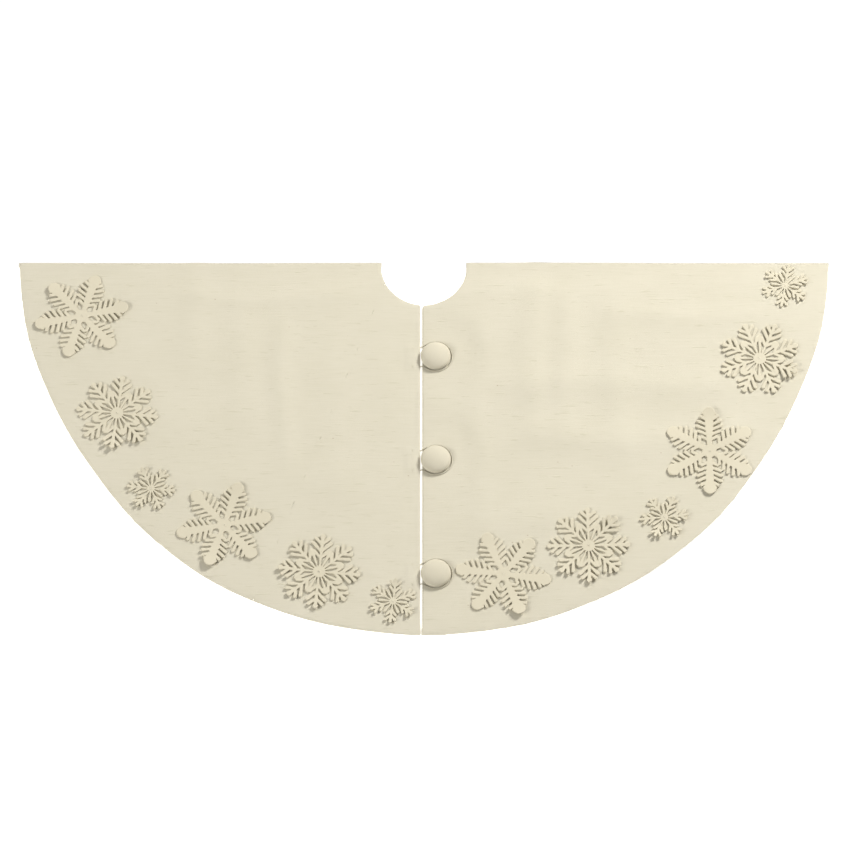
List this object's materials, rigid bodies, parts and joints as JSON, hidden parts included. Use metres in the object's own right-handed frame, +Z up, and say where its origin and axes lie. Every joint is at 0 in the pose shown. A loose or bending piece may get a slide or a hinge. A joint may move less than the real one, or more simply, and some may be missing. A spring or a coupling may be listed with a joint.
{
  "type": "tree skirt",
  "caption": "Round cloth tree skirt with a trunk hole, a slit closed by loops over covered buttons, and loose-tipped cut-out snowflakes.",
  "frame": {"origin": "on the floor at the middle of the trunk hole", "axes": "+Z up; the slit runs from the hole to the hem along -Y"},
  "size_m": [1.5239, 1.5238, 0.02],
  "materials": {
    "skirt_cloth": "unbleached slubby cotton",
    "snowflake_felt": "felt, cut edges",
    "sewing_thread": "thread",
    "button_cloth": "plain weave",
    "button_shell": "moulded",
    "button_plate": "pressed sheet",
    "backing_felt": "felt",
    "loop_cord": "round cord"
  },
  "bodies": {
    "skirt": {"skirt_cloth": "skirt_cloth", "large_snowflake_1": "snowflake_felt", "large_snowflake_2": "snowflake_felt", "large_snowflake_3": "snowflake_felt", "large_snowflake_4": "snowflake_felt", "large_snowflake_5": "snowflake_felt", "large_snowflake_6": "snowflake_felt", "large_snowflake_7": "snowflake_felt", "large_snowflake_8": "snowflake_felt", "medium_snowflake_1": "snowflake_felt", "medium_snowflake_2": "snowflake_felt", "medium_snowflake_3": "snowflake_felt", "medium_snowflake_4": "snowflake_felt", "medium_snowflake_5": "snowflake_felt", "medium_snowflake_6": "snowflake_felt", "medium_snowflake_7": "snowflake_felt", "small_snowflake_1": "snowflake_felt", "small_snowflake_2": "snowflake_felt", "small_snowflake_3": "snowflake_felt", "small_snowflake_4": "snowflake_felt", "small_snowflake_5": "snowflake_felt", "small_snowflake_6": "snowflake_felt", "small_snowflake_7": "snowflake_felt", "skirt_tack_stitches": "sewing_thread", "button_1_backing_disc": "backing_felt", "button_1_thread_shank": "sewing_thread", "button_2_backing_disc": "backing_felt", "button_2_thread_shank": "sewing_thread", "button_3_backing_disc": "backing_felt", "button_3_thread_shank": "sewing_thread"},
    "left_flap": {"front_left_flap": "skirt_cloth", "medium_snowflake_8": "snowflake_felt", "small_snowflake_8": "snowflake_felt", "flap_tack_stitches": "sewing_thread", "loop_1_tails": "loop_cord", "loop_1_anchor_patch": "backing_felt", "loop_1_bar_tacks": "sewing_thread", "loop_2_tails": "loop_cord", "loop_2_anchor_patch": "backing_felt", "loop_2_bar_tacks": "sewing_thread", "loop_3_tails": "loop_cord", "loop_3_anchor_patch": "backing_felt", "loop_3_bar_tacks": "sewing_thread"},
    "loop_1": {"loop_1_cord": "loop_cord"},
    "button_1": {"button_1_cover": "button_cloth", "button_1_shell": "button_shell", "button_1_back_plate": "button_plate"},
    "loop_2": {"loop_2_cord": "loop_cord"},
    "button_2": {"button_2_cover": "button_cloth", "button_2_shell": "button_shell", "button_2_back_plate": "button_plate"},
    "loop_3": {"loop_3_cord": "loop_cord"},
    "button_3": {"button_3_cover": "button_cloth", "button_3_shell": "button_shell", "button_3_back_plate": "button_plate"}
  },
  "joints": [
    {"name": "flap_fold", "type": "hinge", "parent": "skirt", "child": "left_flap", "pos_m": [-0.07251, -0.03381, 0.003], "axis": [-0.3455, -0.9384, 0], "range_deg": [0, 135]},
    {"name": "loop_1_lift", "type": "hinge", "parent": "left_flap", "child": "loop_1", "pos_m": [-0.005, -0.188, 0.0044], "axis": [0, -1, 0], "range_deg": [0, 150]},
    {"name": "button_1_turn", "type": "hinge", "parent": "skirt", "child": "button_1", "pos_m": [0.022, -0.188, 0.005], "axis": [0, 0, 1], "range_deg": [-90, 90]},
    {"name": "loop_2_lift", "type": "hinge", "parent": "left_flap", "child": "loop_2", "pos_m": [-0.005, -0.403, 0.0044], "axis": [0, -1, 0], "range_deg": [0, 150]},
    {"name": "button_2_turn", "type": "hinge", "parent": "skirt", "child": "button_2", "pos_m": [0.022, -0.403, 0.005], "axis": [0, 0, 1], "range_deg": [-90, 90]},
    {"name": "loop_3_lift", "type": "hinge", "parent": "left_flap", "child": "loop_3", "pos_m": [-0.005, -0.637, 0.0044], "axis": [0, -1, 0], "range_deg": [0, 150]},
    {"name": "button_3_turn", "type": "hinge", "parent": "skirt", "child": "button_3", "pos_m": [0.022, -0.637, 0.005], "axis": [0, 0, 1], "range_deg": [-90, 90]}
  ]
}
